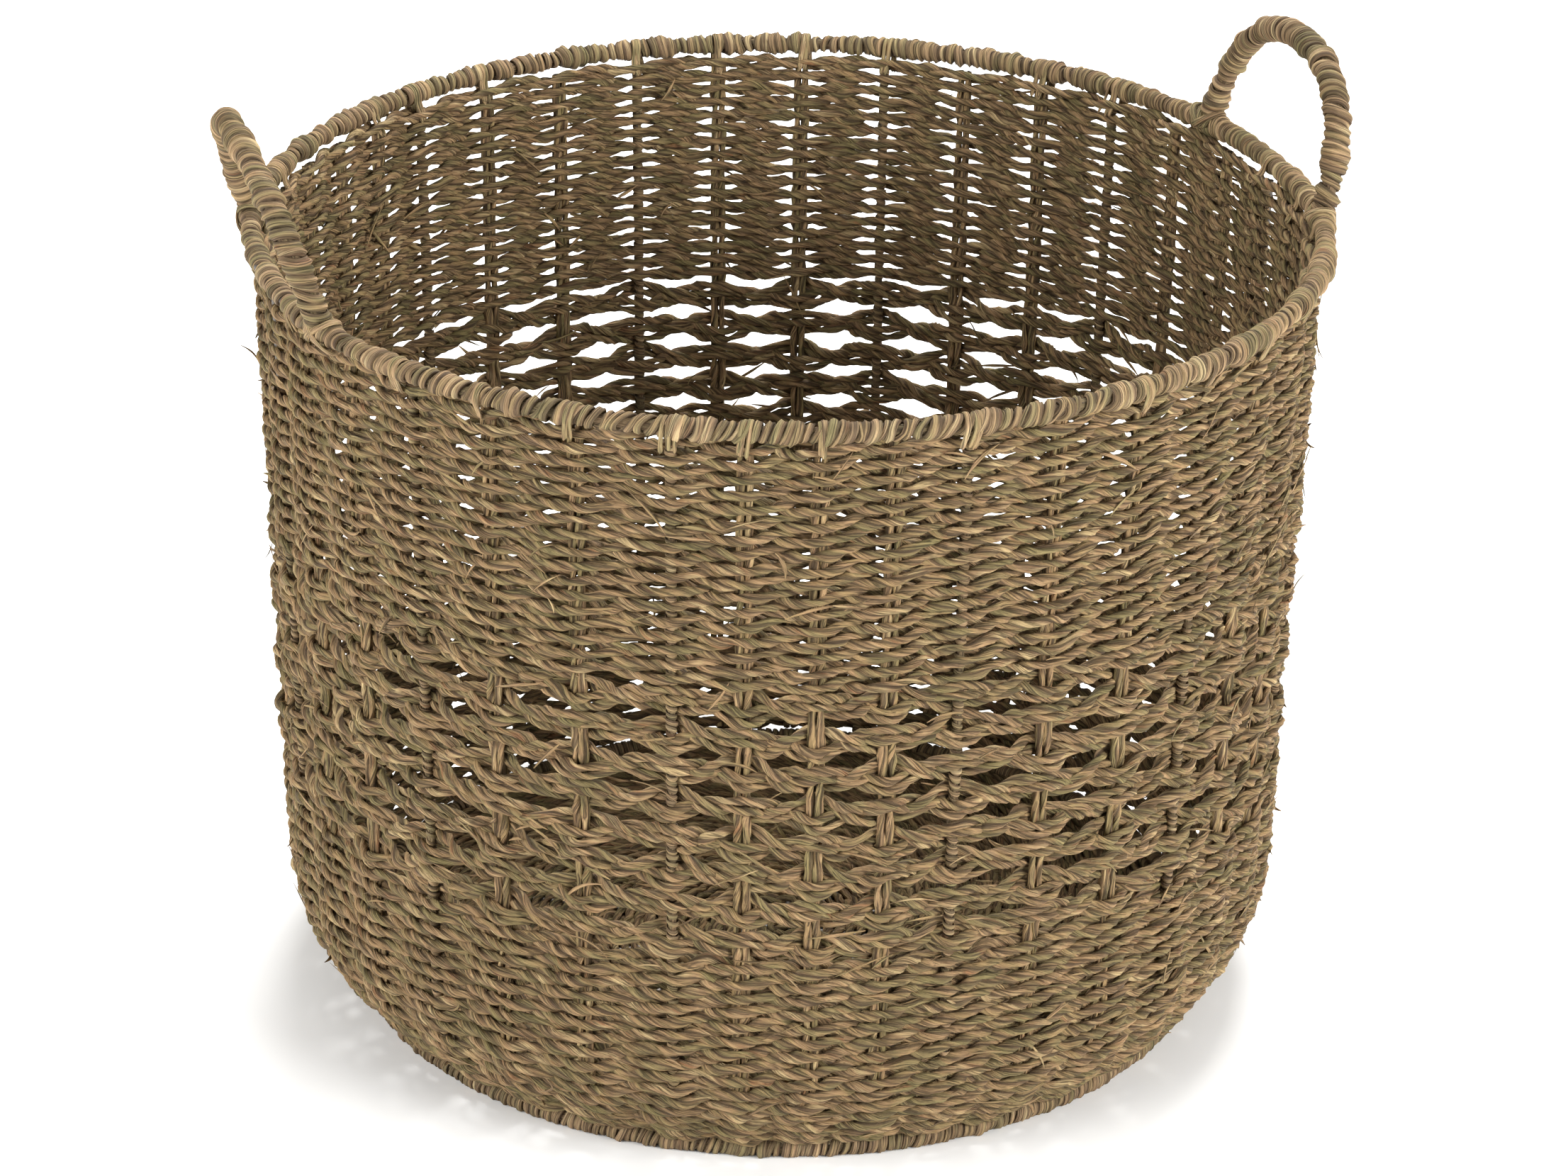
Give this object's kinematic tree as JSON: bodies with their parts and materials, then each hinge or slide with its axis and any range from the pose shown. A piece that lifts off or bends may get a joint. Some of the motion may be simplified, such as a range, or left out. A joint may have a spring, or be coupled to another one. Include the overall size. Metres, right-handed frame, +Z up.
{
  "type": "storage basket",
  "caption": "Round open storage basket of twined seagrass cord on a wrapped wire frame, with a band of openwork and two rigid loop handles on the rim.",
  "frame": {"origin": "middle of the base's underside, on the floor", "axes": "+Z up through the open mouth; +X towards the side with one handle, which stands about 18 degrees round from +X towards +Y; the other handle stands about 197 degrees round"},
  "size_m": [0.4842, 0.468, 0.4172],
  "materials": {
    "woven_cord": "twisted seagrass cord, matte",
    "warp_cord": "twisted seagrass cord, matte",
    "wound_blade": "wound seagrass blades, matte",
    "frame_wire": "plain drawn wire"
  },
  "bodies": {
    "root": {"upper_weave": "woven_cord", "lower_weave": "woven_cord", "base_weave": "woven_cord", "openwork_row_1": "woven_cord", "openwork_row_2": "woven_cord", "openwork_row_3": "woven_cord", "openwork_row_4": "woven_cord", "openwork_row_5": "woven_cord", "openwork_row_6": "woven_cord", "openwork_row_7": "woven_cord", "openwork_row_8": "woven_cord", "warp_cords_01": "warp_cord", "wire_wrapping_01": "wound_blade", "frame_wire_01": "frame_wire", "warp_cords_02": "warp_cord", "wire_wrapping_02": "wound_blade", "frame_wire_02": "frame_wire", "warp_cords_03": "warp_cord", "wire_wrapping_03": "wound_blade", "frame_wire_03": "frame_wire", "warp_cords_04": "warp_cord", "wire_wrapping_04": "wound_blade", "frame_wire_04": "frame_wire", "warp_cords_05": "warp_cord", "wire_wrapping_05": "wound_blade", "frame_wire_05": "frame_wire", "warp_cords_06": "warp_cord", "wire_wrapping_06": "wound_blade", "frame_wire_06": "frame_wire", "warp_cords_07": "warp_cord", "wire_wrapping_07": "wound_blade", "frame_wire_07": "frame_wire", "warp_cords_08": "warp_cord", "wire_wrapping_08": "wound_blade", "frame_wire_08": "frame_wire", "warp_cords_09": "warp_cord", "wire_wrapping_09": "wound_blade", "frame_wire_09": "frame_wire", "warp_cords_10": "warp_cord", "wire_wrapping_10": "wound_blade", "frame_wire_10": "frame_wire", "warp_cords_11": "warp_cord", "wire_wrapping_11": "wound_blade", "frame_wire_11": "frame_wire", "warp_cords_12": "warp_cord", "wire_wrapping_12": "wound_blade", "frame_wire_12": "frame_wire", "rim_wrapping": "wound_blade", "base_ring_wrapping": "wound_blade", "handle_left_wrapping": "wound_blade", "handle_right_wrapping": "wound_blade", "handle_left_lashings": "wound_blade", "handle_right_lashings": "wound_blade", "rim_hoop": "frame_wire", "base_hoop": "frame_wire", "base_spokes": "frame_wire", "base_centre_ring": "frame_wire", "handle_left_hoop": "frame_wire", "handle_right_hoop": "frame_wire"}
  },
  "joints": []
}
